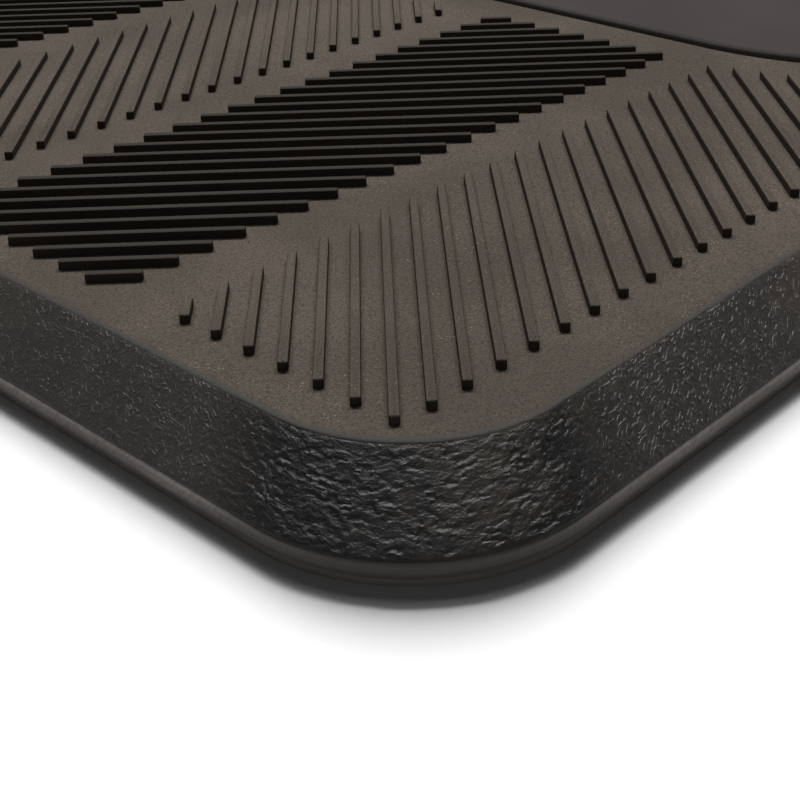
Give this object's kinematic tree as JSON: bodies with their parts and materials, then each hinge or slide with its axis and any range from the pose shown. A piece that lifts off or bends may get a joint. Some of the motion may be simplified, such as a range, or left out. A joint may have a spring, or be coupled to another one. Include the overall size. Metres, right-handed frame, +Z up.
{
  "type": "anti-fatigue mat",
  "caption": "Bevelled cushioned floor mat with round corners, a herringbone of raised ribs at both ends and a smooth raised standing pad in the middle.",
  "frame": {"origin": "centre of the mat's footprint, on the floor", "axes": "+X along the long side, +Y from the front edge to the back edge, +Z up"},
  "size_m": [0.762, 0.508, 0.0196],
  "materials": {
    "grip_rubber": "matte moulded rubber with shallow suction cups",
    "base_rubber": "smooth satin moulded rubber, dusty",
    "core_foam": "closed-cell cushion foam",
    "cover_rubber": "fine matte deck and ribs, wrinkled leather-like embossing on the bevel",
    "cushion_foam": "soft cushion foam",
    "pad_skin": "smooth finely brushed satin rubber"
  },
  "bodies": {
    "root": {"grip_sheet": "grip_rubber", "base_layer": "base_rubber", "foam_core": "core_foam", "ribbed_cover": "cover_rubber", "centre_cushion": "cushion_foam", "centre_pad": "pad_skin"}
  },
  "joints": []
}
